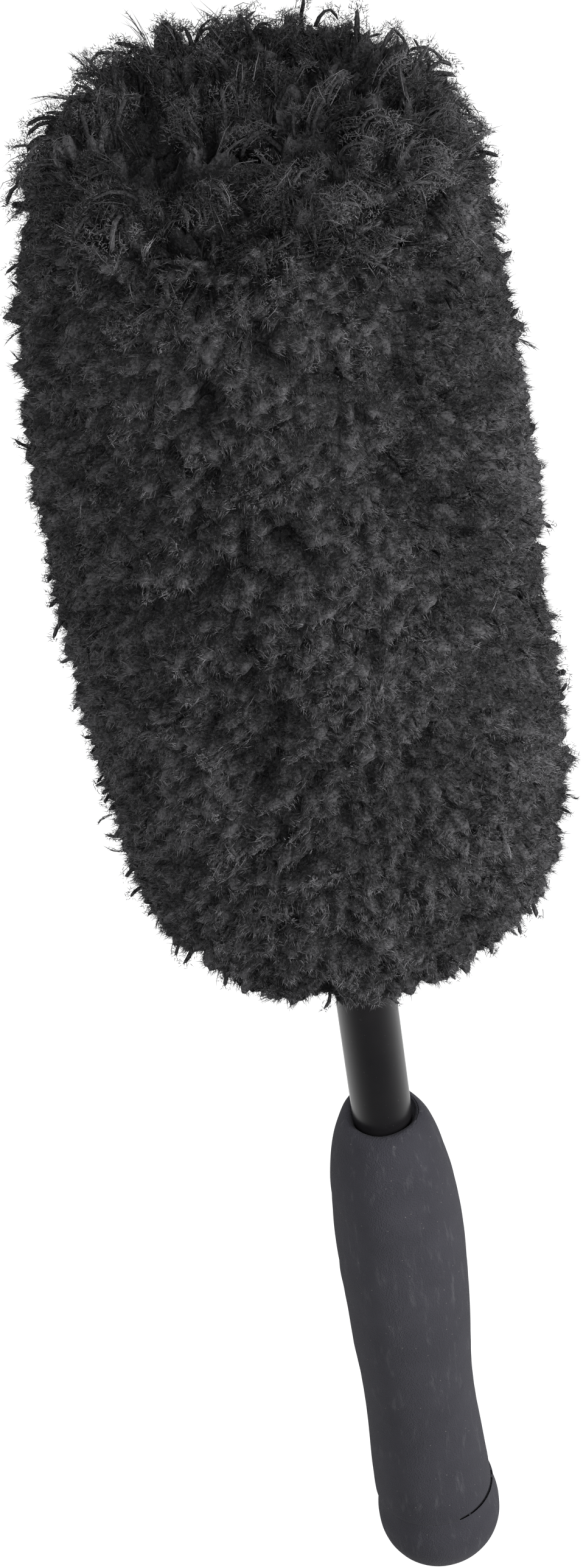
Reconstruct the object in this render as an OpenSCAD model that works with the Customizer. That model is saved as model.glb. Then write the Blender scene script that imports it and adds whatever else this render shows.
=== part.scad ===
// Wheel brush: a washable microfibre cover on a foam core, with a foam-gripped tubular handle.
// Millimetres, +Z from the ball end towards the tip, origin under the centre of the ball end.

/* [Handle] */
// Diameter of the ball-shaped end
ball_d = 31.3; // [28:0.1:36]
// Height of the crease between the ball end and the grip sleeve
crease_z = 25.8; // [24:0.1:30]
// Diameter of the grip at its waist
waist_d = 27.7; // [24:0.1:30]
// Height of the waist
waist_z = 58.6; // [50:0.1:70]
// Diameter of the grip at its swell
swell_d = 31.2; // [28:0.1:36]
// Height of the swell
swell_z = 120.6; // [105:0.1:125]
// Height of the rolled lip at the top of the grip
grip_top_z = 163.6; // [155:0.1:170]

/* [Shaft] */
// Outside diameter of the tube
shaft_d = 14; // [12:0.5:16]
// Wall of the tube
shaft_wall = 1.6; // [1.2:0.1:2]
// Height of the tube's lower end, inside the ball end
shaft_bottom_z = 6; // [5:0.5:8]

/* [Head] */
// Diameter over the pile
head_d = 102; // [96:1:106]
// Diameter of the head where its tip starts to round
shoulder_d = 95; // [90:1:98]
// Height of the head's widest place
belly_z = 305; // [290:1:330]
// Height of the lower edge of the pile
head_bottom_z = 231; // [224:1:236]
// Height of the pile around the tip seam
tip_z = 442; // [438:1:448]
// Outside diameter of the foam core
core_d = 60; // [54:1:60]
// Thickness of the knitted backing
backing_t = 0.8; // [0.6:0.1:1]
// Room between foam core and backing
ease = 1.2; // [1:0.1:1.5]
// Depth of the pinch that the tip seam makes in the pile
pinch_depth = 12; // [8:1:14]
// Length of the tip seam
tip_seam_l = 24; // [18:1:28]
// Distance of the tip seam in front of the axis
tip_seam_y = 8; // [0:1:10]

/* [Fasteners] */
// Diameter of the cross pin through the lower collar
pin_d = 3; // [2.5:0.5:4]
// Diameter of the tip screw
screw_d = 5; // [4:0.5:5]

/* [Hidden] */
$fn = 96;
cut = 1;               // overrun of a cutting solid past the face it cuts

// Handle
ball_r = ball_d / 2;
waist_r = waist_d / 2;
swell_r = swell_d / 2;
shaft_r = shaft_d / 2;
bore_r = shaft_r - shaft_wall;
crease_r = ball_r - 0.95;
crease_land = 1.2;     // height of the rolled edge on each side of the crease
crease_bulge = 0.35;   // how far the sleeve stands out just above the crease
lip_r = 1;             // radius of the rolled lip
lip_crest_r = shaft_r + 1.4;
lip_z = grip_top_z - lip_r;
shoulder_power = 1.9;  // squareness of the grip's shoulder
end_plug_flange_t = 2;
end_plug_l = 12;

// Core
core_r = core_d / 2;
core_bottom_z = head_bottom_z + 18;
core_top_z = tip_z - 46;
inner_core_r = 17;
flange_t = 3;
flange_r = core_r - 4;
collar_boss_r = 11;
collar_boss_l = 13;
collar_bottom_z = core_bottom_z - flange_t;
pin_z = core_bottom_z + 8;
pin_l = 2 * collar_boss_r - 1;
shaft_top_z = core_top_z + flange_t;
top_plug_l = 22;
top_plug_bore_d = screw_d * 0.84;
washer_r = 11;
washer_t = 1.6;
screw_head_r = screw_d * 0.95;
screw_head_h = 3.2;
screw_l = 18;
nose_h = 13;
nose_cavity_r = washer_r + 0.6;
nose_cavity_h = washer_t + screw_head_h + 0.6;
nose_top_z = shaft_top_z + nose_h;

// Cover
backing_in_r = core_r + ease;
backing_out_r = backing_in_r + backing_t;
backing_top_z = nose_top_z + 4;
dome_z = core_top_z + 4;   // height at which the backing's dome starts
seam_w = 6;            // width of the side seam's allowance
seam_t = ease - 0.4;   // thickness of the side seam's allowance
tip_seam_w = 2.4;
tip_seam_h = 5;
tip_seam_room = 0.3;   // room between the tip seam and the pile on each side
seam_gap = 0.05;       // room between the tip seam and the backing
hem_in_r = shaft_r + 0.5;
hem_out_r = hem_in_r + 3.5;
hem_bottom_z = head_bottom_z + 1;
hem_h = 8;
hem_wall = 0.9;
elastic_r = 0.85;
stitch_t = 0.6;
skirt_in_z = hem_bottom_z + 6.6;
skirt_out_z = collar_bottom_z - 2.1;
skirt_t = 0.9;
seam_bottom_z = skirt_out_z + skirt_t + 0.1;
head_r = head_d / 2;
shoulder_r = shoulder_d / 2;
pile_gap = 0.1;        // room between the backing and the pile's solid
pile_in_r = hem_out_r + stitch_t + pile_gap;
split_h = 5;           // height above the pile's lower edge where skirt and side pile meet
bottom_corner = 38;    // height of the rounded lower end of the pile
top_corner = 27;       // height of the rounded upper end of the pile
crest_r = 21;          // radius at which the tip's pile is highest
bottom_power = 2.1;    // squareness of the rounded lower end
top_power = 2.4;       // squareness of the rounded upper end

// Eases from 0 to 1 as t goes from 0 to 1.
function ease_in_out(t) = (1 - cos(180 * t)) / 2;

// Points of an eased curve from one [radius, height] to another, without the first point.
function eased(from, to, steps) = [
    for (i = [1 : steps])
        let (t = i / steps)
        [from[0] + (to[0] - from[0]) * ease_in_out(t), from[1] + (to[1] - from[1]) * t]
];

// Points of a superellipse arc about a centre, between two angles.
function arc(centre, half_w, half_h, power, a0, a1, steps) = [
    for (i = [0 : steps])
        let (a = a0 + (a1 - a0) * i / steps)
        [
            centre[0] + half_w * sign(cos(a)) * pow(abs(cos(a)), 2 / power),
            centre[1] + half_h * sign(sin(a)) * pow(abs(sin(a)), 2 / power)
        ]
];

// Outline of the backing's dome over the tip, from its side up to its top.
function dome(r, top) = arc([0, dome_z], r, top - dome_z, 2, 0, 90, 14);

// A ring between two heights.
module tube(outer_r, inner_r, z0, z1) {
    difference() {
        translate([0, 0, z0]) cylinder(r = outer_r, h = z1 - z0);
        translate([0, 0, z0 - cut]) cylinder(r = inner_r, h = z1 - z0 + 2 * cut);
    }
}

// Outline of the grip above the crease, from the crease up to the lip and the bore.
function grip_outline() = concat(
    [[shaft_r, crease_z], [crease_r, crease_z]],
    arc([crease_r, crease_z + crease_land], crease_bulge, crease_land, 2, -90, 0, 4),
    eased([crease_r + crease_bulge, crease_z + crease_land], [waist_r, waist_z], 8),
    eased([waist_r, waist_z], [swell_r, swell_z], 14),
    arc([lip_crest_r + lip_r, swell_z], swell_r - lip_crest_r - lip_r, lip_z - swell_z,
        shoulder_power, 8, 88, 14),
    arc([lip_crest_r, lip_z], lip_r, lip_r, 2, 0, 180, 8),
    [[shaft_r, lip_z - 0.8]]
);

// Outline of the ball end, from its lowest point up to the crease.
function ball_outline() = concat(
    arc([0, ball_r], ball_r, ball_r, 2, -90, 0, 16),
    [[ball_r, ball_r + 2]],
    eased([ball_r, ball_r + 2], [crease_r + crease_bulge, crease_z - crease_land], 4),
    arc([crease_r, crease_z - crease_land], crease_bulge, crease_land, 2, 20, 90, 4),
    [[0, crease_z]]
);

// Outline of the pile's outside, from the hem up over the side to the pit in the tip.
function pile_bottom(from_r) = concat(
    [[from_r, head_bottom_z]],
    arc([from_r, head_bottom_z + bottom_corner], head_r - from_r, bottom_corner,
        bottom_power, -84, 0, 14)
);
function pile_top() = concat(
    eased([head_r, belly_z], [shoulder_r, tip_z - top_corner], 10),
    arc([crest_r, tip_z - top_corner], shoulder_r - crest_r, top_corner, top_power, 6, 90, 15),
    eased([crest_r, tip_z], [0, tip_z - pinch_depth], 6)
);

module shaft_tube() {
    color("#1a1a1c")
        difference() {
            tube(shaft_r, bore_r, shaft_bottom_z, shaft_top_z);
            translate([0, 0, pin_z]) rotate([0, 90, 0])
                cylinder(d = pin_d, h = 2 * shaft_d, center = true);
        }
}

module shaft_end_plug() {
    color("#303033")
        union() {
            translate([0, 0, shaft_bottom_z - end_plug_flange_t])
                cylinder(r = shaft_r, h = end_plug_flange_t);
            translate([0, 0, shaft_bottom_z]) cylinder(r = bore_r, h = end_plug_l);
        }
}

module shaft_top_plug() {
    color("#303033")
        tube(bore_r, top_plug_bore_d / 2, shaft_top_z - top_plug_l, shaft_top_z);
}

module grip_sleeve() {
    color("#3c3c40") rotate_extrude() polygon(grip_outline());
}

module grip_end_cap() {
    color("#3c3c40")
        difference() {
            rotate_extrude() polygon(ball_outline());
            translate([0, 0, shaft_bottom_z - end_plug_flange_t])
                cylinder(r = shaft_r, h = crease_z);
        }
}

module lower_collar() {
    color("#28282b")
        difference() {
            union() {
                translate([0, 0, collar_bottom_z]) cylinder(r = flange_r, h = flange_t);
                translate([0, 0, core_bottom_z])
                    cylinder(r = collar_boss_r, h = collar_boss_l);
            }
            translate([0, 0, collar_bottom_z - cut])
                cylinder(r = shaft_r, h = flange_t + collar_boss_l + 2 * cut);
            translate([0, 0, pin_z]) rotate([0, 90, 0])
                cylinder(d = pin_d, h = 2 * flange_r, center = true);
        }
}

module collar_pin() {
    color("silver")
        translate([0, 0, pin_z]) rotate([0, 90, 0])
            cylinder(d = pin_d, h = pin_l, center = true);
}

module foam_core() {
    color("#8c9096")
        difference() {
            tube(inner_core_r, shaft_r, core_bottom_z, core_top_z);
            translate([0, 0, core_bottom_z - cut])
                cylinder(r = collar_boss_r, h = collar_boss_l + cut);
        }
}

module foam_wrap() {
    chamfer = 6;
    color("#b9bcc0")
        rotate_extrude() polygon([
            [inner_core_r, core_bottom_z],
            [core_r - chamfer, core_bottom_z],
            [core_r, core_bottom_z + chamfer],
            [core_r, core_top_z],
            [inner_core_r, core_top_z]
        ]);
}

module top_flange() {
    color("#28282b") tube(flange_r, shaft_r, core_top_z, shaft_top_z);
}

module tip_washer() {
    color("silver") tube(washer_r, screw_d / 2, shaft_top_z, shaft_top_z + washer_t);
}

module tip_screw() {
    head_z = shaft_top_z + washer_t;
    socket_r = screw_d * 0.35;
    color("silver")
        difference() {
            union() {
                translate([0, 0, head_z]) cylinder(r = screw_head_r, h = screw_head_h);
                translate([0, 0, head_z - washer_t]) cylinder(r = screw_d / 2, h = washer_t);
                translate([0, 0, head_z - screw_l])
                    cylinder(d = top_plug_bore_d, h = screw_l - washer_t);
            }
            translate([0, 0, head_z + screw_head_h - 2])
                cylinder(r = socket_r, h = 2 + cut, $fn = 6);
        }
}

module nose_cap() {
    edge = 3;
    color("#8c9096")
        rotate_extrude() polygon(concat(
            [
                [0, shaft_top_z + nose_cavity_h],
                [nose_cavity_r, shaft_top_z + nose_cavity_h],
                [nose_cavity_r, shaft_top_z],
                [flange_r, shaft_top_z],
                [flange_r, core_top_z],
                [core_r, core_top_z]
            ],
            arc([0, core_top_z + edge], core_r, nose_top_z - core_top_z - edge, 2, 0, 90, 14)
        ));
}

module cover_backing() {
    inner = dome(backing_in_r, backing_top_z);
    outer = dome(backing_out_r, backing_top_z + backing_t);
    reversed = [for (i = [len(inner) - 1 : -1 : 0]) inner[i]];
    color("#3a3a3c")
        rotate_extrude() polygon(concat(
            [[backing_in_r, skirt_out_z], [backing_out_r, skirt_out_z]],
            outer,
            reversed
        ));
}

module cover_pile() {
    dome_top = backing_top_z + backing_t;
    under = dome(backing_out_r + pile_gap, dome_top + pile_gap);
    inside = [for (i = [len(under) - 1 : -1 : 0]) under[i]];
    slot_l = tip_seam_l + 2 * tip_seam_room;
    slot_w = tip_seam_w + 2 * tip_seam_room;
    color("#323233")
        difference() {
            rotate_extrude() polygon(concat(
                [for (p = pile_bottom(pile_in_r)) if (p[0] > backing_out_r + pile_gap) p],
                [[head_r, belly_z]],
                pile_top(),
                inside,
                [[backing_out_r + pile_gap, head_bottom_z + split_h]]
            ));
            translate([-slot_l / 2, -tip_seam_y - slot_w / 2, dome_z])
                cube([slot_l, slot_w, dome_top + tip_seam_h + tip_seam_room - dome_z]);
        }
}

module side_seam() {
    color("#2a2a2c")
        intersection() {
            tube(backing_in_r, backing_in_r - seam_t, seam_bottom_z, core_top_z);
            translate([-seam_w / 2, 0, seam_bottom_z])
                cube([seam_w, backing_out_r, core_top_z - seam_bottom_z]);
        }
}

module tip_seam() {
    dome_top = backing_top_z + backing_t;
    color("#1e1e20")
        difference() {
            translate([-tip_seam_l / 2, -tip_seam_y - tip_seam_w / 2, dome_z])
                cube([tip_seam_l, tip_seam_w, dome_top + tip_seam_h - dome_z]);
            rotate_extrude() polygon(concat(
                [[0, dome_z - cut], [backing_out_r, dome_z - cut]],
                dome(backing_out_r + seam_gap, dome_top + seam_gap)
            ));
        }
}

module skirt_backing() {
    color("#3a3a3c")
        rotate_extrude() polygon([
            [hem_out_r, skirt_in_z],
            [backing_in_r, skirt_out_z],
            [backing_in_r, skirt_out_z + skirt_t],
            [hem_out_r, skirt_in_z + skirt_t]
        ]);
}

module skirt_pile() {
    top_in_z = skirt_in_z - pile_gap;
    top_out_z = skirt_out_z - pile_gap;
    color("#323233")
        rotate_extrude() polygon(concat(
            [for (p = pile_bottom(pile_in_r)) if (p[0] <= backing_out_r) p],
            [
                [backing_out_r, head_bottom_z + split_h],
                [backing_out_r, top_out_z],
                [pile_in_r, top_in_z]
            ]
        ));
}

module hem_channel() {
    color("#2a2a2c")
        difference() {
            tube(hem_out_r, hem_in_r, hem_bottom_z, hem_bottom_z + hem_h);
            tube(hem_out_r - hem_wall, hem_in_r + hem_wall, hem_bottom_z + hem_wall,
                hem_bottom_z + hem_h + cut);
        }
}

module hem_elastic() {
    color("#d8d8d4")
        translate([0, 0, hem_bottom_z + hem_wall + elastic_r]) rotate_extrude()
            translate([(hem_in_r + hem_out_r) / 2, 0]) circle(r = elastic_r, $fn = 24);
}

module hem_stitch() {
    stitch_z = hem_bottom_z + hem_h / 2;
    color("#1e1e20") tube(hem_out_r + stitch_t, hem_out_r, stitch_z, stitch_z + stitch_t);
}

shaft_tube();
shaft_end_plug();
shaft_top_plug();
grip_sleeve();
grip_end_cap();
lower_collar();
collar_pin();
foam_core();
foam_wrap();
top_flange();
tip_washer();
tip_screw();
nose_cap();
cover_backing();
cover_pile();
side_seam();
tip_seam();
skirt_backing();
skirt_pile();
hem_channel();
hem_elastic();
hem_stitch();
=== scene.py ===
"""Wheel brush: the looks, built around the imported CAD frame.

Units are metres. The brush stands along +Z with its tip up, and the camera looks down on it from the front (-Y).
"""

import math

import bmesh
import bpy
import numpy as np
from mathutils import Matrix, Vector


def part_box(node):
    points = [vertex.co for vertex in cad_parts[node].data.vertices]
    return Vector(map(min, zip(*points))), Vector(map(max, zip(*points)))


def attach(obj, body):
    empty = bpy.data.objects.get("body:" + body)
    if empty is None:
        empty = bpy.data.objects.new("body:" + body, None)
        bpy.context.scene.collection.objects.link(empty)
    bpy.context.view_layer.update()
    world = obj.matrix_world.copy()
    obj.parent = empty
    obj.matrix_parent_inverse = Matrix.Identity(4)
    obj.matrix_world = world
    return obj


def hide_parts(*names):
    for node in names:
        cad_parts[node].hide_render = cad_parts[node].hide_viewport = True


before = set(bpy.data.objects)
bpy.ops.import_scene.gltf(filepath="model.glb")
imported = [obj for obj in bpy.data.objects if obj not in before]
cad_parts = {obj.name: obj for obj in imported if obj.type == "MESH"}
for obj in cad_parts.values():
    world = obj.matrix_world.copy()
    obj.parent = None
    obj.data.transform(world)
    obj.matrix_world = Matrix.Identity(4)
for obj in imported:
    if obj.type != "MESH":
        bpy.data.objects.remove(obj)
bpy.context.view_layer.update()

MM = 0.001
rng = np.random.default_rng(2411)

# ---------------------------------------------------------------- sizes, all from the frame


def low(node):
    return Vector(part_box(node)[0])


def high(node):
    return Vector(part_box(node)[1])


HEAD_R = high("cover_pile").x
HEAD_LOW = low("skirt_pile").z
HEAD_TOP = high("cover_pile").z
BACKING_R = high("cover_backing").x
BACKING_TOP = high("cover_backing").z
BACKING_LOW = low("cover_backing").z
SHAFT_R = high("shaft_tube").x
GRIP_TOP = high("grip_sleeve").z
CREASE_Z = low("grip_sleeve").z
BALL_R = high("grip_end_cap").x
SWELL_R = high("grip_sleeve").x
SEAM_HALF = high("tip_seam").x
HEM_R = high("hem_channel").x
HEM_IN_R = SHAFT_R + 0.5 * MM
HEM_LOW = low("hem_channel").z
HEM_TOP = high("hem_channel").z
CORE_R = high("foam_wrap").x
CORE_TOP = high("foam_wrap").z
NOSE_TOP = high("nose_cap").z
CLOTH_T = 0.8 * MM
DOME_LOW = CORE_TOP + 4 * MM    # where the backing begins to round in to the tip

# ---------------------------------------------------------------- camera, floor and light

AIM_Z = 268 * MM            # height of the point on the axis that the camera looks at
DISTANCE = 927 * MM
ELEVATION = math.radians(42)
ROLL = math.radians(8.4)    # the brush leans this far to the left in the picture
SIDE_STEP = 9.5 * MM        # how far the axis stands to the right of the picture's middle
LENS = 97.8
FLOOR_Z = -0.5              # the brush is held up, well clear of the floor
FLOOR_HALF = 9
SENSOR_W = 36
WORLD_LIGHT = 0.33
GLOW_Y = (-0.6, 0.15)       # the floor's glow grows between these two distances behind the axis,
GLOW = (0.1, 1.1)           # from the first of these strengths to the second


def make_camera():
    forward = Vector((0, math.cos(ELEVATION), -math.sin(ELEVATION)))
    level_up = Vector((0, math.sin(ELEVATION), math.cos(ELEVATION)))
    level_right = Vector((1, 0, 0))
    right = level_right * math.cos(ROLL) - level_up * math.sin(ROLL)
    up = level_up * math.cos(ROLL) + level_right * math.sin(ROLL)
    place = Vector((0, 0, AIM_Z)) - right * SIDE_STEP - forward * DISTANCE
    data = bpy.data.cameras.new("camera")
    data.lens = LENS
    data.sensor_width = SENSOR_W
    data.clip_end = 50
    camera = bpy.data.objects.new("camera", data)
    camera.matrix_world = Matrix(
        (
            (right.x, up.x, -forward.x, place.x),
            (right.y, up.y, -forward.y, place.y),
            (right.z, up.z, -forward.z, place.z),
            (0, 0, 0, 1),
        )
    )
    bpy.context.collection.objects.link(camera)
    bpy.context.scene.camera = camera


def make_softbox(name, place, aim, size, power):
    data = bpy.data.lights.new(name, "AREA")
    data.shape = "RECTANGLE"
    data.size, data.size_y = size
    data.energy = power
    light = bpy.data.objects.new(name, data)
    light.location = place
    turn = (Vector(aim) - Vector(place)).to_track_quat("-Z", "Y")
    light.rotation_euler = turn.to_euler()
    bpy.context.collection.objects.link(light)


def make_stage():
    world = bpy.data.worlds.new("studio")
    bpy.context.scene.world = world
    world.use_nodes = True
    sky = world.node_tree.nodes["Background"]
    sky.inputs["Color"].default_value = (0.97, 0.98, 1.0, 1)
    sky.inputs["Strength"].default_value = WORLD_LIGHT
    material, tree, shader = new_material("floor")
    shader.inputs["Base Color"].default_value = (0.05, 0.05, 0.05, 1)
    shader.inputs["Roughness"].default_value = 1.0
    shader.inputs["Specular IOR Level"].default_value = 0.0
    # The floor glows with its own emission behind the brush, as painted light, and fades in front of it, so the
    # tube's middle stays dark.
    place = node(tree, "ShaderNodeTexCoord")
    split = node(tree, "ShaderNodeSeparateXYZ")
    tree.links.new(place.outputs["Object"], split.inputs["Vector"])
    glow = mapped(tree, split.outputs["Y"], *GLOW_Y, *GLOW)
    tree.links.new(glow, shader.inputs["Emission Strength"])
    shader.inputs["Emission Color"].default_value = (1, 1, 1, 1)
    corners = [(x * FLOOR_HALF, y * FLOOR_HALF, FLOOR_Z) for x, y in ((-1, -1), (1, -1), (1, 1), (-1, 1))]
    floor = mesh_object("floor", corners, [(0, 1, 2, 3)], material)
    make_softbox("key", (0.15, -1.5, 1.35), (0, 0, 0.28), (0.7, 0.7), 33)
    make_softbox("fill", (1.3, -0.8, 0.6), (0, 0, 0.25), (0.35, 1.3), 62)
    make_softbox("side", (-1.3, -0.5, 0.7), (0, 0, 0.25), (0.3, 1.2), 17)
    make_softbox("back", (0.2, 1.4, 1.5), (0, 0, 0.3), (1.4, 0.8), 15)


# ---------------------------------------------------------------- small helpers


def new_material(name):
    material = bpy.data.materials.new(name)
    material.use_nodes = True
    tree = material.node_tree
    return material, tree, tree.nodes["Principled BSDF"]


def mesh_object(name, points, faces, material=None, smooth=False):
    mesh = bpy.data.meshes.new(name)
    mesh.from_pydata([tuple(p) for p in points], [], [tuple(f) for f in faces])
    mesh.update()
    if smooth:
        mesh.shade_smooth()
    if material:
        mesh.materials.append(material)
    thing = bpy.data.objects.new(name, mesh)
    bpy.context.collection.objects.link(thing)
    return thing


def fast_mesh(name, points, corners, sizes, material, uv=None, values=None):
    """A smooth mesh object from numpy arrays: points, face corners, corners a face, UVs and point values."""
    mesh = bpy.data.meshes.new(name)
    mesh.vertices.add(len(points))
    mesh.vertices.foreach_set("co", np.ascontiguousarray(points, np.float32).ravel())
    mesh.loops.add(len(corners))
    mesh.loops.foreach_set("vertex_index", np.ascontiguousarray(corners, np.int32))
    mesh.polygons.add(len(sizes))
    starts = np.concatenate([[0], np.cumsum(sizes)[:-1]]).astype(np.int32)
    mesh.polygons.foreach_set("loop_start", starts)
    mesh.polygons.foreach_set("use_smooth", np.ones(len(sizes), bool))
    mesh.update(calc_edges=True)
    for key, numbers in (values or {}).items():
        made = mesh.attributes.new(key, "FLOAT", "POINT")
        made.data.foreach_set("value", np.ascontiguousarray(numbers, np.float32))
    if uv is not None:
        layer = mesh.uv_layers.new(name="OFBake")
        layer.data.foreach_set("uv", np.ascontiguousarray(uv, np.float32).ravel())
    mesh.materials.append(material)
    thing = bpy.data.objects.new(name, mesh)
    bpy.context.collection.objects.link(thing)
    return thing


def node(tree, kind, **settings):
    made = tree.nodes.new(kind)
    for key, value in settings.items():
        if key in made.inputs:
            made.inputs[key].default_value = value
        else:
            setattr(made, key, value)
    return made


def mapped(tree, value, start, stop, low_out, high_out):
    """A value mapped from start..stop to low_out..high_out, and held at both ends."""
    ends = {"From Min": start, "From Max": stop, "To Min": low_out, "To Max": high_out}
    step = node(tree, "ShaderNodeMapRange", **ends)
    tree.links.new(value, step.inputs["Value"])
    return step.outputs["Result"]


def move_points(thing, change):
    """Lets change(points) edit a mesh's points in place."""
    points = np.empty(len(thing.data.vertices) * 3, np.float32)
    thing.data.vertices.foreach_get("co", points)
    points = points.reshape(-1, 3)
    change(points)
    thing.data.vertices.foreach_set("co", points.ravel())
    thing.data.update()


def ring_quads(steps, rows, around):
    """Quads from each ring of points in steps to the next, and the ring and place of each quad."""
    i, j = np.meshgrid(steps, np.arange(around), indexing="ij")
    i2, j2 = (i + 1) % rows, (j + 1) % around
    quads = np.stack([i * around + j, i * around + j2, i2 * around + j2, i2 * around + j], -1)
    return quads.reshape(-1, 4), i, j


def round_way(theta):
    """The level direction round the axis at each angle."""
    return np.stack([-np.sin(theta), np.cos(theta), np.zeros_like(theta)], -1)


def superellipse(cx, cz, half_w, half_h, power, start, stop, count):
    angle = np.radians(np.linspace(start, stop, count))
    c, s = np.cos(angle), np.sin(angle)
    r = cx + half_w * np.sign(c) * np.abs(c) ** (2 / power)
    z = cz + half_h * np.sign(s) * np.abs(s) ** (2 / power)
    return np.stack([r, z], -1)


def eased(start, stop, count):
    t = np.linspace(0, 1, count)
    r = start[0] + (stop[0] - start[0]) * (1 - np.cos(np.pi * t)) / 2
    return np.stack([r, start[1] + (stop[1] - start[1]) * t], -1)


def resampled(line, count):
    """The same line with evenly spaced points."""
    step = np.linalg.norm(np.diff(line, axis=0), axis=1)
    line = line[np.concatenate([[True], step > 1e-9])]
    at = np.concatenate([[0], np.cumsum(np.linalg.norm(np.diff(line, axis=0), axis=1))])
    want = np.linspace(0, at[-1], count)
    return np.stack([np.interp(want, at, line[:, i]) for i in (0, 1)], -1), at[-1]


class Wobble:
    """Smooth noise from about -1 to 1: a sum of waves in random directions, of one feature size a unit."""

    def __init__(self, waves=9):
        way = rng.normal(size=(waves, 3))
        self.way = way / np.linalg.norm(way, axis=1)[:, None] * rng.uniform(0.7, 1.5, waves)[:, None]
        self.phase = rng.uniform(0, 2 * np.pi, waves)
        self.scale = math.sqrt(2 / waves)

    def __call__(self, points, size):
        turn = points @ self.way.T * (np.pi / size) + self.phase
        return np.sin(turn).sum(-1) * self.scale


# ---------------------------------------------------------------- materials


def pile_material():
    """Charcoal microfibre: each fibre has its own tone, and painted shade darkens it towards its root and low in
    the pile.
    """
    material, tree, shader = new_material("microfibre_pile")
    link = tree.links.new
    tone = node(tree, "ShaderNodeAttribute", attribute_name="tone")
    along = node(tree, "ShaderNodeAttribute", attribute_name="along")
    ramp = node(tree, "ShaderNodeValToRGB")
    ramp.color_ramp.elements[0].color = (0.007, 0.007, 0.0075, 1)
    ramp.color_ramp.elements[1].color = (0.118, 0.116, 0.122, 1)
    # Fine speckle: the ends of fibres too fine to model one by one.
    coords = node(tree, "ShaderNodeTexCoord")
    speckle = node(tree, "ShaderNodeTexNoise", Scale=1500.0, Detail=3.0, Roughness=0.7)
    total = node(tree, "ShaderNodeMath", operation="ADD")
    bump = node(tree, "ShaderNodeBump", Strength=0.8, Distance=0.0005)
    link(coords.outputs["Object"], speckle.inputs["Vector"])
    link(tone.outputs["Fac"], total.inputs[0])
    link(mapped(tree, speckle.outputs["Fac"], 0.25, 0.75, -0.38, 0.38), total.inputs[1])
    link(total.outputs["Value"], ramp.inputs["Fac"])
    link(speckle.outputs["Fac"], bump.inputs["Height"])
    link(bump.outputs["Normal"], shader.inputs["Normal"])
    mix = node(tree, "ShaderNodeVectorMath", operation="SCALE")
    link(ramp.outputs["Color"], mix.inputs["Vector"])
    # Painted shade: a low along darkens the colour at each fibre's root, in the creases and over the dense lower
    # pile.
    link(mapped(tree, along.outputs["Fac"], 0, 1, 0.35, 1.15), mix.inputs["Scale"])
    link(mix.outputs["Vector"], shader.inputs["Base Color"])
    link(mapped(tree, along.outputs["Fac"], 0.2, 1, 0.04, 0.4), shader.inputs["Specular IOR Level"])
    shader.inputs["Roughness"].default_value = 0.6
    return material


def surface_material(name, dark, light, cloud, grain, depth, rough, metal=0.0, shine=0.5, cells=False):
    """A real surface with some wear: cloudy colour between two tones, varied roughness, and a fine raised grain.

    cloud and grain are the two textures' scales a metre, and depth is the grain's height in metres."""
    material, tree, shader = new_material(name)
    link = tree.links.new
    coords = node(tree, "ShaderNodeTexCoord")
    patches = node(tree, "ShaderNodeTexNoise", Scale=cloud, Detail=6.0, Roughness=0.65)
    fine = node(tree, "ShaderNodeTexVoronoi" if cells else "ShaderNodeTexNoise", Scale=grain)
    height = fine.outputs["Distance" if cells else "Fac"]
    ramp = node(tree, "ShaderNodeValToRGB")
    ramp.color_ramp.elements[0].position = 0.3
    ramp.color_ramp.elements[0].color = (*dark, 1)
    ramp.color_ramp.elements[1].position = 0.7
    ramp.color_ramp.elements[1].color = (*light, 1)
    bump = node(tree, "ShaderNodeBump", Strength=0.6, Distance=depth)
    for texture in (patches, fine):
        link(coords.outputs["Object"], texture.inputs["Vector"])
    link(patches.outputs["Fac"], ramp.inputs["Fac"])
    link(ramp.outputs["Color"], shader.inputs["Base Color"])
    link(mapped(tree, patches.outputs["Fac"], 0.3, 0.7, *rough), shader.inputs["Roughness"])
    link(height, bump.inputs["Height"])
    link(bump.outputs["Normal"], shader.inputs["Normal"])
    shader.inputs["Metallic"].default_value = metal
    shader.inputs["Specular IOR Level"].default_value = shine
    return material, tree, shader, ramp, coords


def overlay(tree, shader, under, mask, colour):
    """Lays a colour over the base colour wherever the mask is 1."""
    mix = node(tree, "ShaderNodeMix", data_type="RGBA")
    tree.links.new(mask, mix.inputs["Factor"])
    tree.links.new(under, mix.inputs[6])
    mix.inputs[7].default_value = (*colour, 1)
    tree.links.new(mix.outputs[2], shader.inputs["Base Color"])
    return mix.outputs[2]


def above(tree, value, low_end, high_end, most=1.0):
    """0 below low_end and most above high_end."""
    return mapped(tree, value, low_end, high_end, 0, most)


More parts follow.
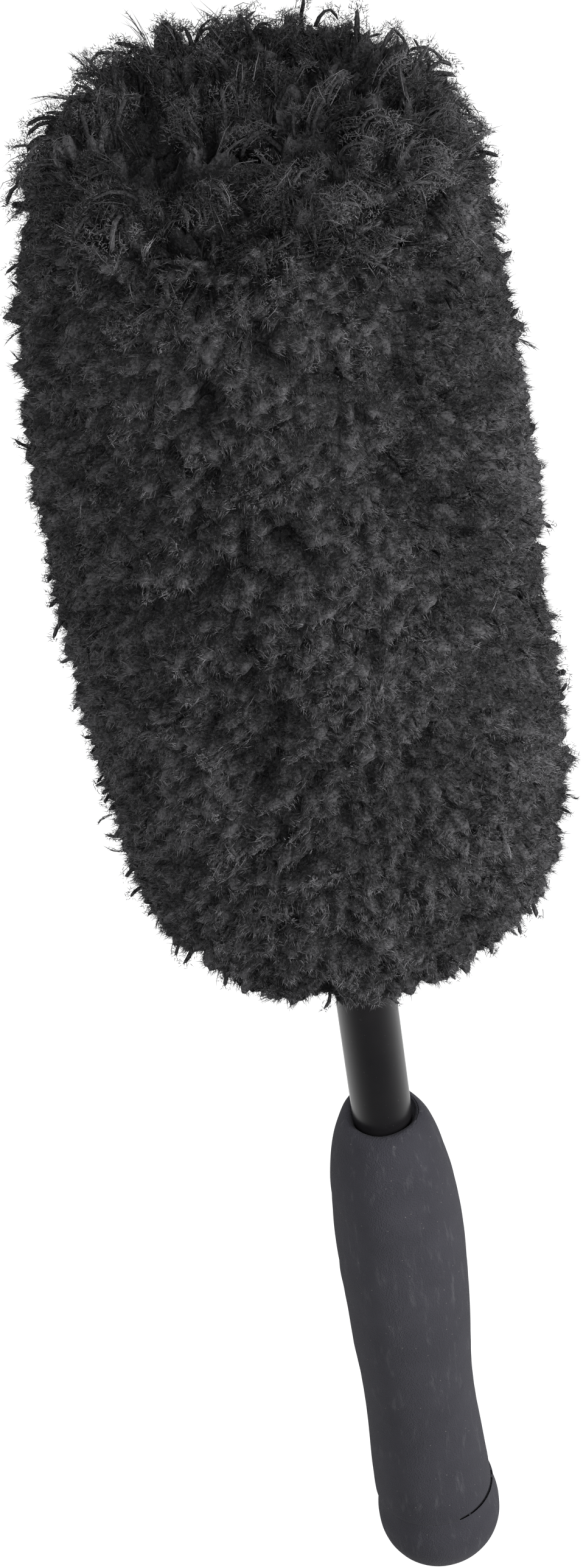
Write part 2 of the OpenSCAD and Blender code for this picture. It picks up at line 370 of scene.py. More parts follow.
def grip_material():
    """Matte closed-cell foam with fine pores, pale scuffs along it and a little dust."""
    material, tree, shader, ramp, coords = surface_material(
        "grip_foam", (0.0165, 0.0162, 0.02), (0.0245, 0.024, 0.029), 45, 2600, 0.00025, (0.8, 0.95),
        shine=0.08, cells=True,
    )
    stretch = node(tree, "ShaderNodeMapping")
    stretch.inputs["Scale"].default_value = (520, 520, 90)
    scuffs = node(tree, "ShaderNodeTexNoise", Scale=1.0, Detail=5.0, Roughness=0.7)
    dust = node(tree, "ShaderNodeTexVoronoi", Scale=420.0)
    tree.links.new(coords.outputs["Object"], stretch.inputs["Vector"])
    tree.links.new(stretch.outputs["Vector"], scuffs.inputs["Vector"])
    tree.links.new(coords.outputs["Object"], dust.inputs["Vector"])
    scuffed = overlay(tree, shader, ramp.outputs["Color"], above(tree, scuffs.outputs["Fac"], 0.56, 0.76, 0.5),
                      (0.058, 0.058, 0.063))
    near = node(tree, "ShaderNodeMath", operation="SUBTRACT")
    near.inputs[0].default_value = 1.0
    tree.links.new(dust.outputs["Distance"], near.inputs[1])
    overlay(tree, shader, scuffed, above(tree, near.outputs["Value"], 0.93, 0.97, 0.45), (0.19, 0.18, 0.17))
    shader.inputs["Sheen Weight"].default_value = 0.02
    return material


def tube_material():
    """Gloss black lacquer with faint orange peel and fine dust."""
    material, tree, shader, ramp, coords = surface_material(
        "gloss_black_tube", (0.003, 0.003, 0.0035), (0.006, 0.0055, 0.006), 30, 420, 0.00001, (0.2, 0.3), shine=0.2
    )
    dust = node(tree, "ShaderNodeTexNoise", Scale=1300.0, Detail=2.0)
    tree.links.new(coords.outputs["Object"], dust.inputs["Vector"])
    specks = above(tree, dust.outputs["Fac"], 0.7, 0.78, 0.4)
    overlay(tree, shader, ramp.outputs["Color"], specks, (0.05, 0.05, 0.05))
    return material


def knit_material(name, dark, light, wales, courses):
    """A tight knit: columns of loops round the tube and rows of loops up it."""
    material, tree, shader, ramp, coords = surface_material(
        name, dark, light, 90, 1800, 0.0001, (0.8, 0.95), shine=0.2
    )
    link = tree.links.new
    split = node(tree, "ShaderNodeSeparateXYZ")
    turn = node(tree, "ShaderNodeMath", operation="ARCTAN2")
    link(coords.outputs["Object"], split.inputs["Vector"])
    link(split.outputs["Y"], turn.inputs[0])
    link(split.outputs["X"], turn.inputs[1])
    waves = []
    for value, number in ((turn.outputs["Value"], wales), (split.outputs["Z"], courses)):
        scaled = node(tree, "ShaderNodeMath", operation="MULTIPLY")
        scaled.inputs[1].default_value = number
        wave = node(tree, "ShaderNodeMath", operation="SINE")
        link(value, scaled.inputs[0])
        link(scaled.outputs["Value"], wave.inputs[0])
        waves.append(wave)
    loops = node(tree, "ShaderNodeMath", operation="MULTIPLY")
    link(waves[0].outputs["Value"], loops.inputs[0])
    link(waves[1].outputs["Value"], loops.inputs[1])
    bump = node(tree, "ShaderNodeBump", Strength=0.7, Distance=0.0003)
    link(loops.outputs["Value"], bump.inputs["Height"])
    link(bump.outputs["Normal"], shader.inputs["Normal"])
    # Painted shade: the loops' tops are lighter than the hollows between them.
    overlay(tree, shader, ramp.outputs["Color"], above(tree, loops.outputs["Value"], 0.1, 0.9, 0.5), light)
    return material


def plastic_material():
    return surface_material(
        "black_plastic", (0.02, 0.02, 0.022), (0.034, 0.034, 0.036), 120, 1500, 0.00005, (0.38, 0.55)
    )[0]


def steel_material():
    return surface_material(
        "steel", (0.48, 0.48, 0.5), (0.66, 0.66, 0.67), 260, 2200, 0.00003, (0.24, 0.42), metal=1.0
    )[0]


def foam_material(name, dark, light, grain):
    return surface_material(name, dark, light, 70, grain, 0.0005, (0.85, 0.98), shine=0.2, cells=True)[0]


def cloth_material(name, dark, light, grain):
    return surface_material(name, dark, light, 200, grain, 0.0003, (0.75, 0.95), shine=0.2)[0]


# ---------------------------------------------------------------- pile

PROUD = 0.5 * MM            # how far the locks' ends stand over the CAD outline
PIT_DEPTH = 6 * MM
CREST_R = 26 * MM
SHOULDER_R = 47.5 * MM
BELLY_Z = 305 * MM
SEAM_Y = (low("tip_seam").y + high("tip_seam").y) / 2
SKIN_HANG = 2.5 * MM        # how far the pile hangs below the CAD outline
SKIN_POINTS = 600
LOW_ROUND, TOP_ROUND = 2.25, 3.0    # how square the head's lower and upper corners are: 2 is round
EDGE = 0.5 * MM             # no pile grows this close to either end of the skin
NEAR_TIP = np.array([0, 35, 70]) * MM   # distances to the tip that the three gaps below belong to
CLUMP_GAPS = np.array([10, 9, 8]) * MM
TUFT_GAPS = np.array([3.6, 3.2, 2.2]) * MM
LOCK_GAPS = np.array([2.9, 2.9, 2.8]) * MM
SHAGGY_LENGTH, SHAGGY_FADE = 32 * MM, 34 * MM   # how far the long pile reaches from the tip, and its fade
FOLD_DEPTH, PAD_DEPTH, SLOT_DEPTH = 5 * MM, 1.8 * MM, 6 * MM
SLOT_HALF, SLOT_FADE, SLOT_REACH = 1.2 * MM, 4.2 * MM, 45 * MM
LOW_EDGE = 14 * MM          # the pile thins out over this length at the hem
LOW_PALER_TONE, LOW_PALER_LENGTH = 0.11, 70 * MM
LOCK_LENGTH, SHAGGY_EXTRA = 6.5, 5.5    # in mm: a lock on the body, and how much longer at the tip
WISPS, RIM_WISPS, RIM = 0.05, 0.15, 22 * MM     # shares of thin wisps: everywhere, and more along the lower rim
WISP_LONGER, WISP_PROUD = 1.5, 1.5 * MM
LOCK_BANDS, NAP_BANDS, NAP_FIBRES = 12, 8, 340000


def skin_line():
    """The head's outline over the pile, from the hem up over the side to the pit in the tip."""
    inner = HEM_R + 0.7 * MM
    top_h, bottom_h = 27 * MM, 38 * MM + SKIN_HANG
    parts = [
        superellipse(inner, HEAD_LOW - SKIN_HANG + bottom_h, HEAD_R - inner, bottom_h, LOW_ROUND, -90, 0, 60),
        eased((HEAD_R, BELLY_Z), (SHOULDER_R, HEAD_TOP - top_h), 30),
        superellipse(CREST_R, HEAD_TOP - top_h, SHOULDER_R - CREST_R, top_h, TOP_ROUND, 3, 90, 60),
        eased((CREST_R, HEAD_TOP), (EDGE, HEAD_TOP - PIT_DEPTH), 20)[1:],
    ]
    return resampled(np.concatenate(parts), SKIN_POINTS)


def unit(v):
    return v / np.maximum(np.linalg.norm(v, axis=-1, keepdims=True), 1e-12)


# The cover sits a little unevenly on its core: heights, how far it leans to +X there, and how much fuller it is.
SAG_Z = np.array([231, 260, 285, 315, 345, 370, 388, 405, 422, 442]) * MM
SAG_LEAN = np.array([-0.8, 1.2, 0.2, -1.0, -2.2, -2.4, -2.0, -1.8, -0.2, -0.6]) * MM
SAG_FULL = np.array([0.6, -0.2, 0.4, 1.0, 2.4, 3.2, 3.8, 2.0, -0.6, -1.0]) * MM


def skin_at(s, theta, line, length):
    """Points, outward normals and downward tangents of the skin at arc lengths s and angles theta."""
    at = np.linspace(0, length, len(line))
    r, z = np.interp(s, at, line[:, 0]), np.interp(s, at, line[:, 1])
    side = np.clip((r - CREST_R) / (16 * MM), 0, 1)
    share = np.clip((r - HEM_R) / (10 * MM), 0, 1)
    full = side * np.interp(z, SAG_Z, SAG_FULL)
    lean = share * np.interp(z, SAG_Z, SAG_LEAN)
    slope = np.gradient(line, at, axis=0)
    dr, dz = np.interp(s, at, slope[:, 0]), np.interp(s, at, slope[:, 1])
    c, n = np.cos(theta), np.sin(theta)
    point = np.stack([(r + full) * c + lean, (r + full) * n, z], -1)
    normal = unit(np.stack([dz * c, dz * n, -dr], -1))
    down = unit(np.stack([-dr * c, -dr * n, -dz], -1))
    return point, normal, down


def scatter(line, length, gap_at, squash, jitter):
    """Jittered rows of places over the skin: arc lengths, angles and the local gap between them."""
    at = np.linspace(0, length, len(line))
    s, theta, gaps = [], [], []
    here, row = 1.5 * MM, 0
    while here < length - 1 * MM:
        r = float(np.interp(here, at, line[:, 0]))
        gap = float(gap_at(length - here))
        number = max(int(2 * np.pi * r / gap), 4)
        turn = (np.arange(number) + 0.5 * (row % 2)) / number * 2 * np.pi
        s.append(here + rng.normal(0, jitter, number) * gap * squash)
        theta.append(turn + rng.normal(0, jitter, number) * gap / max(r, gap))
        gaps.append(np.full(number, gap))
        here += gap * squash
        row += 1
    s = np.clip(np.concatenate(s), EDGE, length - EDGE)
    return s, np.concatenate(theta), np.concatenate(gaps)


class Tufts:
    """Curled locks of pile. Each lock's axis turns from its normal towards its lean as it goes out."""

    KEYS = ("root", "n", "lean", "side", "length", "width", "thick", "turn0", "turn1", "wave", "tone",
            "phase", "pinch", "shaggy")

    def __init__(self, root, normal, lean, length, width, thick, turn0, turn1, wave, tone, pinch, shaggy):
        self.root, self.n, self.length = root, normal, length
        self.lean = unit(lean - normal * (lean * normal).sum(-1, keepdims=True))
        self.side = np.cross(self.n, self.lean)
        self.width, self.thick = width, thick
        self.turn0, self.turn1, self.wave, self.tone, self.pinch = turn0, turn1, wave, tone, pinch
        self.shaggy = shaggy
        self.phase = rng.uniform(0, 2 * np.pi, len(root))

    def axis(self, i, u):
        """The point at u along lock i, and the direction across the lock there that points out of the pelt."""
        a0, a1 = self.turn0[i], self.turn1[i]
        a = a0 + (a1 - a0) * u
        out = (np.sin(a) - np.sin(a0)) / (a1 - a0)
        over = (np.cos(a0) - np.cos(a)) / (a1 - a0)
        length = self.length[i][:, None]
        sway = (self.wave[i] * np.sin(4.2 * u + self.phase[i]) * u)[:, None] * self.side[i]
        point = self.root[i] + length * (out[:, None] * self.n[i] + over[:, None] * self.lean[i]) + sway
        up = np.sin(a)[:, None] * self.n[i] - np.cos(a)[:, None] * self.lean[i]
        return point, up

    def girth(self, i, u):
        """The lock's share of its full width at u. A pinched lock comes to a point."""
        blunt = np.interp(u, [0, 0.35, 0.75, 1, 1.3], [0.7, 0.9, 1.05, 1, 0.85])
        sharp = np.interp(u, [0, 0.3, 0.7, 1, 1.3], [0.8, 1, 0.55, 0.08, 0.02])
        return blunt * (1 - self.pinch[i]) + sharp * self.pinch[i]

    def part(self, mask):
        some = object.__new__(Tufts)
        for key in self.KEYS:
            setattr(some, key, getattr(self, key)[mask])
        return some


def sleeve_mesh(rings, tips, radial):
    """Corners and sizes of many closed tapered tubes: rings of `radial` points, then one tip point each."""
    per = rings * radial + 1
    first = np.arange(tips)[:, None] * per
    quads = []
    for k in range(rings - 1):
        for j in range(radial):
            j2 = (j + 1) % radial
            quads.append([k * radial + j, k * radial + j2, (k + 1) * radial + j2, (k + 1) * radial + j])
    top = (rings - 1) * radial
    ends = [[top + j, top + (j + 1) % radial, per - 1] for j in range(radial)]
    root = [[radial - 1 - j for j in range(radial)]]
    corners = np.concatenate(
        [(first + np.ravel(f).astype(int)[None, :]).reshape(tips, -1) for f in (quads, ends, root)], axis=1
    )
    sizes = np.tile(np.array([4] * len(quads) + [3] * radial + [radial]), tips)
    return corners.ravel(), sizes


def cell_uv(count, per_u, per_v):
    """A square cell of the UV map for each of count tubes. per_u and per_v are one tube's corner places."""
    side = int(math.ceil(math.sqrt(count)))
    cell = np.arange(count)
    x, y = cell % side, cell // side
    u = (x[:, None] + 0.15 + 0.7 * per_u[None, :]) / side
    v = (y[:, None] + 0.15 + 0.7 * per_v[None, :]) / side
    return np.stack([u, v], -1).reshape(-1, 2)


def tube_layout(rings, radial):
    """Where each point of one tube lies in its map cell."""
    u = np.tile(np.arange(radial) / radial, rings).tolist() + [0.5]
    v = np.repeat(np.arange(rings) / rings, radial).tolist() + [1.0]
    return np.array(u), np.array(v)


def lock_cores(tufts, rings=5, radial=4, share=0.34):
    """The dense middle of each lock."""
    count = len(tufts.root)
    index = np.arange(count)
    rows = []
    for k in range(rings):
        u = np.full(count, 0.84 * k / (rings - 1))
        point, up = tufts.axis(index, u)
        size = tufts.girth(index, u) * 0.5 * share * (1 - (0.25 + 0.35 * u) * tufts.shaggy)
        for j in range(radial):
            angle = 2 * np.pi * j / radial
            rough = rng.uniform(0.7, 1.2, count)
            offset = (
                (tufts.width * size * rough * math.cos(angle))[:, None] * tufts.side
                + (tufts.thick * size * rough * math.sin(angle))[:, None] * up
            )
            rows.append(point + offset)
    tip, _ = tufts.axis(index, np.full(count, 0.98))
    rows.append(tip)
    points = np.stack(rows, 1).reshape(-1, 3)
    corners, sizes = sleeve_mesh(rings, count, radial)
    # Painted shade: a lock's dense middle gets a darker tone and along than its loose fibres.
    along = np.concatenate([np.repeat(np.arange(rings) / rings, radial), [0.9]])
    values = {
        "tone": np.repeat(tufts.tone * (0.3 + 0.2 * tufts.shaggy), rings * radial + 1),
        "along": np.tile(along * 0.6, count),
    }
    return points, corners, sizes, values, (rings, radial, count)


def lock_fibres(tufts, reach=(0.3, 0.6), fuzz=0.5, thick=0.09 * MM, rings=2, radial=3):
    """Fine fibres that lie on each lock and stand a little off it."""
    i = np.repeat(np.arange(len(tufts.root)), (1 + 2 * tufts.shaggy + 9 * (tufts.pinch > 0.7)).astype(int))
    count = len(i)
    start = rng.uniform(0.25, 0.8, count)
    stop = start + rng.uniform(*reach, count)
    stop = np.minimum(stop, rng.uniform(0.95, 1.15, count))
    angle = rng.normal(0.5 * np.pi, 1.2, count)
    swing = rng.normal(0, 0.7, count)
    wild = rng.random(count) < 0.06
    loose = rng.uniform(0.15, 1, count) * fuzz * np.where(wild, 2.4, 1) * (1 - 0.6 * tufts.pinch[i])
    stray = unit(rng.normal(size=(count, 3)) + 0.35 * tufts.n[i]) * loose[:, None]
    span = (stop - start) * tufts.length[i]
    spread = rng.uniform(0.45, 1.1, count)
    centres, ups = [], []
    for k in range(rings + 1):
        t = k / rings
        u = start + (stop - start) * t
        point, up = tufts.axis(i, u)
        size = tufts.girth(i, u) * 0.5 * spread * (1 + 0.25 * t)
        a = angle + swing * t
        centres.append(
            point
            + (tufts.width[i] * size * np.cos(a))[:, None] * tufts.side[i]
            + (tufts.thick[i] * size * np.sin(a))[:, None] * up
            + stray * (span * t**1.4)[:, None]
        )
        ups.append(up)
    rows = []
    girth = thick * rng.uniform(0.7, 1.3, count)[:, None]
    for k in range(rings):
        radius = girth * (1 - 0.4 * k / rings)
        way = unit(centres[k + 1] - centres[k])
        across = unit(np.cross(way, ups[k]) + 1e-9)
        other = np.cross(way, across)
        for j in range(radial):
            a = 2 * np.pi * j / radial
            rows.append(centres[k] + radius * (math.cos(a) * across + math.sin(a) * other))
    rows.append(centres[rings])
    points = np.stack(rows, 1).reshape(-1, 3)
    corners, sizes = sleeve_mesh(rings, count, radial)
    tone = np.clip(tufts.tone[i] + rng.normal(0, 0.2, count), 0, 1)
    steps = np.concatenate([np.repeat(np.arange(rings) / rings, radial), [1.0]])
    along = start[:, None] + (stop - start)[:, None] * steps[None, :]
    values = {"tone": np.repeat(tone, rings * radial + 1), "along": along.ravel()}
    return points, corners, sizes, values, (rings, radial, count)


def spikes(base, aim, reach, tone, along):
    """Tapered clusters of fibre ends: a three-sided spike at each base, along aim."""
    count = len(base)
    first = unit(np.cross(aim, rng.normal(size=(count, 3))))
    second = np.cross(aim, first)
    girth = rng.uniform(0.05, 0.1, count)[:, None] * MM
    rows = []
    for j in range(3):
        a = 2 * np.pi * j / 3
        rows.append(base + girth * (math.cos(a) * first + math.sin(a) * second))
    rows.append(base + aim * reach[:, None])
    points = np.stack(rows, 1).reshape(-1, 3)
    corners, sizes = sleeve_mesh(1, count, 3)
    steps = along[:, None] + np.array([-0.15, -0.15, -0.15, 0.15])[None, :]
    values = {"tone": np.repeat(np.clip(tone, 0, 1), 4), "along": np.clip(steps, 0, 1.2).ravel()}
    return points, corners, sizes, values, (1, 3, count)


def lock_fuzz(tufts):
    """Short crimped fibre ends that stand off each lock in every direction and make it look soft."""
    many = (36 + 70 * tufts.shaggy) * np.where(tufts.pinch > 0.6, 0.25, 1)
    i = np.repeat(np.arange(len(tufts.root)), many.astype(int))
    count = len(i)
    u = 1.0 - 0.6 * rng.random(count) ** 1.3
    point, up = tufts.axis(i, u)
    ahead, _ = tufts.axis(i, u + 0.04)
    way = unit(ahead - point)
    angle = rng.normal(0.5 * np.pi, 1.5, count)
    spread = np.sqrt(rng.uniform(0.05, 1.0, count)) * tufts.girth(i, u) * 0.5
    across = np.cos(angle)[:, None] * tufts.side[i] * (tufts.width[i] * spread)[:, None]
    across += np.sin(angle)[:, None] * up * (tufts.thick[i] * spread)[:, None]
    wild = rng.normal(0, 0.7, (count, 3)) * (1 - 0.6 * tufts.pinch[i])[:, None]
    aim = unit(0.2 * way + 0.8 * unit(across + 1e-9) + 0.2 * tufts.n[i] + wild)
    reach = rng.uniform(0.6, 1.5, count) * MM
    base = point + across - aim * (0.25 * reach)[:, None]
    return spikes(base, aim, reach, tufts.tone[i] + rng.normal(0, 0.2, count), u)


def tube_piece(name, made, material):
    points, corners, sizes, values, (rings, radial, count) = made
    u, v = tube_layout(rings, radial)
    one = corners[: len(corners) // count]
    return fast_mesh(name, points, corners, sizes, material, cell_uv(count, u[one], v[one]), values)


def nearest_two(points, parents):
    """For each point, the index of the nearest parent and the distances to it and to the next."""
    first = np.empty(len(points), int)
    d1, d2 = np.empty(len(points)), np.empty(len(points))
    for start in range(0, len(points), 1000):
        part = slice(start, start + 1000)
        gap = np.linalg.norm(points[part, None, :] - parents[None, :, :], axis=-1)
        two = np.partition(gap, 1, axis=1)[:, :2]
        first[part] = gap.argmin(1)
        d1[part], d2[part] = two[:, 0], two[:, 1]
    return first, d1, d2


def seam_gap(points):
    """How far each point lies from the line of the tip seam, and the way that leads off from it."""
    near = np.stack([np.clip(points[:, 0], -SEAM_HALF, SEAM_HALF), np.full(len(points), SEAM_Y)], -1)
    off = points[:, :2] - near
    gap = np.linalg.norm(off, axis=1)
    return gap, np.concatenate([off / np.maximum(gap, 1e-6)[:, None], np.zeros((len(points), 1))], 1)


class Lattice:
    """Jittered rows of small tufts over the skin, found again from an arc length and an angle."""

    WIDER = 1.5         # how much wider than tall each tuft is

    def __init__(self, line, length, gap_at):
        edges = [0.0]
        while edges[-1] < length:
            edges.append(edges[-1] + float(gap_at(length - edges[-1])))
        self.edges = np.array(edges)
        self.middle = (self.edges[1:] + self.edges[:-1]) / 2
        self.gaps = np.diff(self.edges)
        self.line, self.at = line, np.linspace(0, length, len(line))
        radius = np.interp(self.middle, self.at, line[:, 0])
        self.number = np.maximum((2 * np.pi * radius / (self.gaps * self.WIDER)).astype(int), 4)
        self.first = np.concatenate([[0], np.cumsum(self.number)])
        self.total = int(self.first[-1])
        self.down_jog, self.side_jog = rng.uniform(-0.42, 0.42, (2, self.total))

    def __call__(self, s, theta):
        """The nearest tuft, the offsets from its middle (round, down), and how much nearer it is than the next."""
        radius = np.interp(s, self.at, self.line[:, 0])
        home = np.clip(np.searchsorted(self.edges, s, side="right") - 1, 0, len(self.gaps) - 1)
        best, second = np.full((2, len(s)), np.inf)
        cell, gap = np.zeros(len(s), int), self.gaps[home]
        offset = np.zeros((len(s), 2))
        for step in (-1, 0, 1):
            row = np.clip(home + step, 0, len(self.gaps) - 1)
            real = row == home + step
            number = self.number[row]
            for turn in (-1, 0, 1):
                column = (np.floor(theta / (2 * np.pi) * number).astype(int) + turn) % number
                here = self.first[row] + column
                middle = (column + 0.5 + self.side_jog[here]) / number * 2 * np.pi
                off_round = ((theta - middle + np.pi) % (2 * np.pi) - np.pi) * radius
                off_down = self.middle[row] + self.down_jog[here] * self.gaps[row] - s
                far = np.where(real, np.hypot(off_round, self.WIDER * off_down), np.inf)
                nearer = far < best
                second = np.where(nearer, best, np.minimum(second, far))
                best = np.where(nearer, far, best)
                cell = np.where(nearer, here, cell)
                offset[nearer] = np.stack([off_round, off_down], -1)[nearer]
        return cell, offset, best / gap, (second - best) / gap


class Pelt:
    """The head's skin with its clumps of pile: each clump leans one way, with creases between clumps."""

    STRETCH = np.array([1, 1, 2.5])     # clumps are wider than they are tall
    ROWS, AROUND = 274, 336

    def __init__(self):
        self.line, self.length = skin_line()
        s, theta, self.gap = scatter(self.line, self.length, self.clump_gap, 0.58, 0.34)
        self.centre, _, down = skin_at(s, theta, self.line, self.length)
        around = round_way(theta)
        flow = Wobble()(self.centre, 26 * MM) * 1.2 + rng.normal(0, 0.8, len(s))
        lean = down * np.cos(flow)[:, None] + around * np.sin(flow)[:, None]
        away = unit(seam_gap(self.centre)[1] + rng.normal(0, 0.45, (len(s), 3)))
        near_tip = np.clip(1 - (self.length - s - 26 * MM) / (30 * MM), 0, 1)[:, None]
        self.lean = unit(lean * (1 - near_tip) + away * near_tip * 1.5)
        self.high = rng.normal(0, 0.4, len(s)) * MM
        self.bend = [Wobble() for _ in range(3)]
        self.open, self.swell, self.folds, self.lumps, self.grain = (Wobble() for _ in range(5))
        self.tufts = Lattice(self.line, self.length, self.tuft_gap)
        self.tuft_lean = rng.normal(0, 0.55, (self.tufts.total, 3))
        self.tuft_tone = rng.normal(0, 0.1, self.tufts.total)
        self.tuft_high = rng.normal(0, 0.3, self.tufts.total) * MM
        self.grid = self.chart()

    def tuft_gap(self, to_tip):
        return np.interp(to_tip, NEAR_TIP, TUFT_GAPS)

    def dome(self, s, theta):
        """The little tuft at each place, the offsets from its middle, how high it is there, and how dark: each
        tuft's random tone with painted shade, lighter on its top and darker in the gaps between tufts.
        """
        cell, offset, near, clear = self.tufts(s, theta)
        bulge = np.clip(1 - (near / 0.75) ** 2, 0, 1)
        gap = np.clip(1 - clear / 0.32, 0, 1)
        rise = (bulge - 0.6) * (1.1 + 0.9 * self.shaggy(s)) * MM + self.tuft_high[cell] - 0.5 * MM * gap
        # Painted shade: lighter on the tuft's top and darker in the gaps between tufts, over each tuft's random
        # tone.
        return cell, offset, rise, 0.3 * (bulge - 0.5) - 0.25 * gap + self.tuft_tone[cell]

    def clump_gap(self, to_tip):
        return np.interp(to_tip, NEAR_TIP, CLUMP_GAPS)

    @staticmethod
    def valley(wave, point, size, width):
        """1 along the winding lines where a wave crosses zero, 0 between them."""
        return np.exp(-((wave(point, size) / width) ** 2))

    def shaggy(self, s):
        """1 in the long pile round the tip, 0 in the short pile of the body."""
        return np.clip(1 - (self.length - s - SHAGGY_LENGTH) / SHAGGY_FADE, 0, 1)

    def relief_at(self, point, s):
        """Each point's clump, its crease from 0 to 1, and how far the pile there stands over the skin."""
        bend = np.stack([wave(point, 9 * MM) for wave in self.bend], -1) * 1.2 * MM
        parent, d1, d2 = nearest_two((point + bend) * self.STRETCH, self.centre * self.STRETCH)
        shaggy = self.shaggy(s)
        crease = np.clip(1 - (d2 - d1) / ((2.4 + 1.2 * shaggy) * MM), 0, 1) ** 1.2
        crease *= np.clip(0.7 + 0.9 * self.open(point, 13 * MM), 0.2, 1)
        dome = np.clip(1 - (d1 / (0.75 * self.gap[parent])) ** 2, 0, 1)
        fold = self.valley(self.folds, point * (0.65, 0.65, 2.2), 18 * MM, 0.42)
        fold *= np.clip(0.55 + 0.9 * self.open(point, 14 * MM), 0, 1)
        pads = self.valley(self.lumps, point * (1, 1, 1.7), 7 * MM, 0.2)
        height = self.swell(point, 26 * MM) * 0.4 * MM + self.grain(point, 3 * MM) * 0.4 * MM
        height += (dome - 0.6) * (0.9 + 1.9 * shaggy) * MM + self.high[parent] * (1 + shaggy)
        height -= crease * (3.8 + 1.4 * shaggy) * MM + fold * FOLD_DEPTH + pads * PAD_DEPTH
        crease = np.maximum(crease, 0.8 * fold)
        slot = np.clip(1 - (seam_gap(point)[0] - SLOT_HALF) / SLOT_FADE, 0, 1) * (self.length - s < SLOT_REACH)
        return parent, np.maximum(crease, slot), height - SLOT_DEPTH * slot

    def chart(self):
        """The relief over a grid of the whole skin, which relief() then looks up."""
        s = np.linspace(EDGE, self.length, self.ROWS)
        theta = np.linspace(0, 2 * np.pi, self.AROUND, endpoint=False)
        S, T = (grid.ravel() for grid in np.meshgrid(s, theta, indexing="ij"))
        point, normal, _ = skin_at(S, T, self.line, self.length)
        self.map = self.relief_at(point, S)
        _, _, rise, dark = self.dome(S, T)
        return S, T, point, normal, rise, dark

    def relief(self, s, theta):
        row = np.clip((s - EDGE) / (self.length - EDGE) * (self.ROWS - 1), 0, self.ROWS - 1)
        column = theta / (2 * np.pi) * self.AROUND
        near = np.rint(row).astype(int) * self.AROUND + np.rint(column).astype(int) % self.AROUND
        return tuple(values[near] for values in self.map)


def low_paler(point):
    """The pile is a little paler towards the handle and a little darker towards the tip."""
    return np.clip((BELLY_Z - point[:, 2]) / LOW_PALER_LENGTH, -1, 1) * LOW_PALER_TONE


def plant(pelt):
    """Where each lock stands, which way it leans and how long it is."""

    def lock_gap(to_tip):
        return np.interp(to_tip, NEAR_TIP, LOCK_GAPS)

    s, theta, gap = scatter(pelt.line, pelt.length, lock_gap, 0.95, 0.35)
    keep = rng.random(len(s)) < (0.15 + 0.75 * pelt.shaggy(s)) * (1 - 0.85 * pelt.relief(s, theta)[1])
    s, theta, gap = s[keep], theta[keep], gap[keep]
    point, normal, _ = skin_at(s, theta, pelt.line, pelt.length)
    parent, _, height = pelt.relief(s, theta)
    count, shaggy = len(s), pelt.shaggy(s)
    pull = (pelt.centre[parent] + pelt.lean[parent] * 2 * MM - point) / pelt.gap[parent][:, None]
    lean = unit(pelt.lean[parent] + 0.7 * pull + rng.normal(0, 0.6, (count, 3)) * (1 - 0.5 * shaggy)[:, None])

    wisp = rng.random(count) < WISPS + 0.02 * shaggy + RIM_WISPS * (s < RIM)
    length_of = (LOCK_LENGTH + SHAGGY_EXTRA * shaggy) * MM * rng.uniform(0.85, 1.15, count)
    length_of *= np.where(wisp, WISP_LONGER, 1)
    turn0 = rng.uniform(0.0, 0.35, count)
    curl = 0.8 + 1.5 * shaggy + rng.normal(0, 0.3 + 0.3 * shaggy, count)
    turn1 = np.where(wisp, rng.uniform(0.5, 1.6, count), np.clip(curl, turn0 + 0.15, 3.2))
    peak = np.minimum(turn1, 0.5 * np.pi)
    rise = length_of * (np.sin(peak) - np.sin(turn0)) / (turn1 - turn0)
    proud = height + PROUD + rng.normal(0, 0.35 + 0.45 * shaggy, count) * MM - 1.2 * MM * shaggy
    proud += np.where(wisp, WISP_PROUD, 0)
    root = point + normal * (proud - rise)[:, None]
    # Painted shade: locks set low in the pile get a darker tone.
    tone = 0.5 + rng.normal(0, 0.12, count) + np.clip(height / (3.4 * MM), -0.7, 0.1) + low_paler(point)
    width = gap * rng.uniform(0.9, 1.6, count) * (1 + 0.35 * shaggy) * np.where(wisp, 0.25, 1)
    return Tufts(
        root, normal, lean, length_of, width, width * rng.uniform(0.6, 0.95, count),
        turn0, turn1, rng.uniform(0, 0.9, count) * MM, np.clip(tone, 0.05, 0.95),
        np.where(wisp, rng.uniform(0.75, 1, count), rng.uniform(0, 0.3, count)), shaggy,
    ), point


